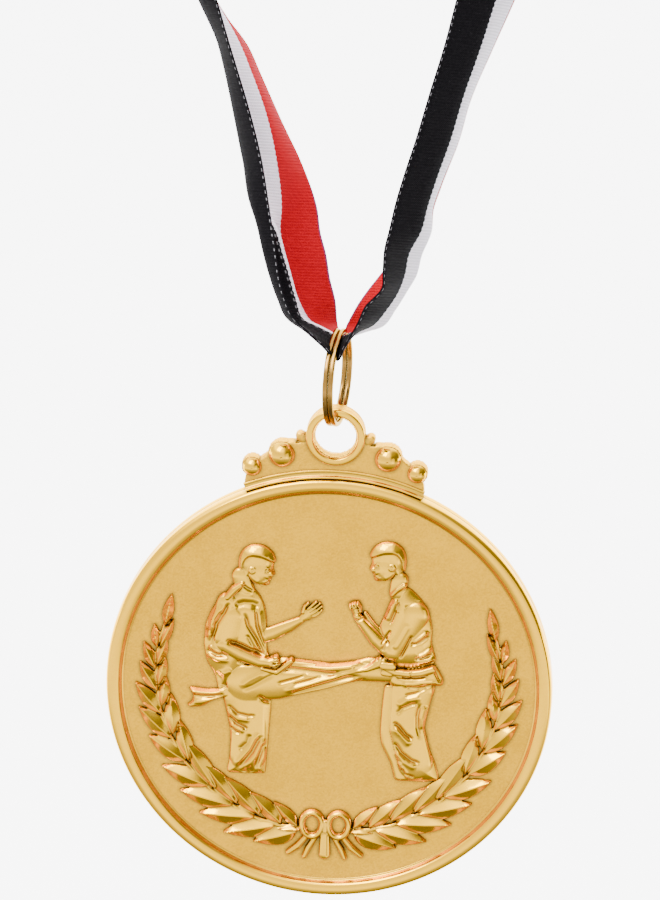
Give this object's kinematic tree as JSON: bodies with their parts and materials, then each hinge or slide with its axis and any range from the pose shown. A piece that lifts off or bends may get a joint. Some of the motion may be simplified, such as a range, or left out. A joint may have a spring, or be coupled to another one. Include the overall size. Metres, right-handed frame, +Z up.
{
  "type": "award medal on a neck ribbon",
  "caption": "Round gold sports medal with two martial artists and laurels in relief, hung by a split ring from a three-band neck ribbon.",
  "frame": {"origin": "the point inside the top of the ribbon loop that rests on a neck or a hook, at the middle of the ribbon's width", "axes": "+Z up, +X to the right of someone looking at the medal's face, and the face looks along -Y"},
  "size_m": [0.167, 0.02, 0.4254],
  "materials": {
    "sandblasted_gold": "gold plate over a fine sandblasted ground",
    "polished_gold": "bright polished gold plate",
    "brass_wire": "smooth drawn wire, brass plated",
    "woven_ribbon": "fine woven polyester in three equal bands: black, white and red",
    "sewing_thread": "matt polyester thread"
  },
  "bodies": {
    "ribbon": {"neck_ribbon": "woven_ribbon", "seam_stitching": "sewing_thread"},
    "ring": {"split_ring": "brass_wire"},
    "medal": {"medal_plate": "sandblasted_gold", "front_rim": "polished_gold", "back_rim": "polished_gold", "crest_ledge": "polished_gold", "eyelet_front_collar": "polished_gold", "eyelet_back_collar": "polished_gold", "bead_left_inner": "polished_gold", "bead_left_outer": "polished_gold", "bead_right_inner": "polished_gold", "bead_right_outer": "polished_gold", "kicking_figure": "polished_gold", "blocking_figure": "polished_gold", "laurel_left": "polished_gold", "laurel_right": "polished_gold", "laurel_bow": "polished_gold"}
  },
  "joints": [
    {"name": "ring_turn", "type": "hinge", "parent": "ribbon", "child": "ring", "pos_m": [0, 0, -0.34294], "axis": [0.9898, -0.1426, 0], "range_deg": [-80, 80]},
    {"name": "medal_swing", "type": "hinge", "parent": "ring", "child": "medal", "pos_m": [0, 0, -0.34967], "axis": [0, 1, 0], "range_deg": [-80, 80]}
  ]
}
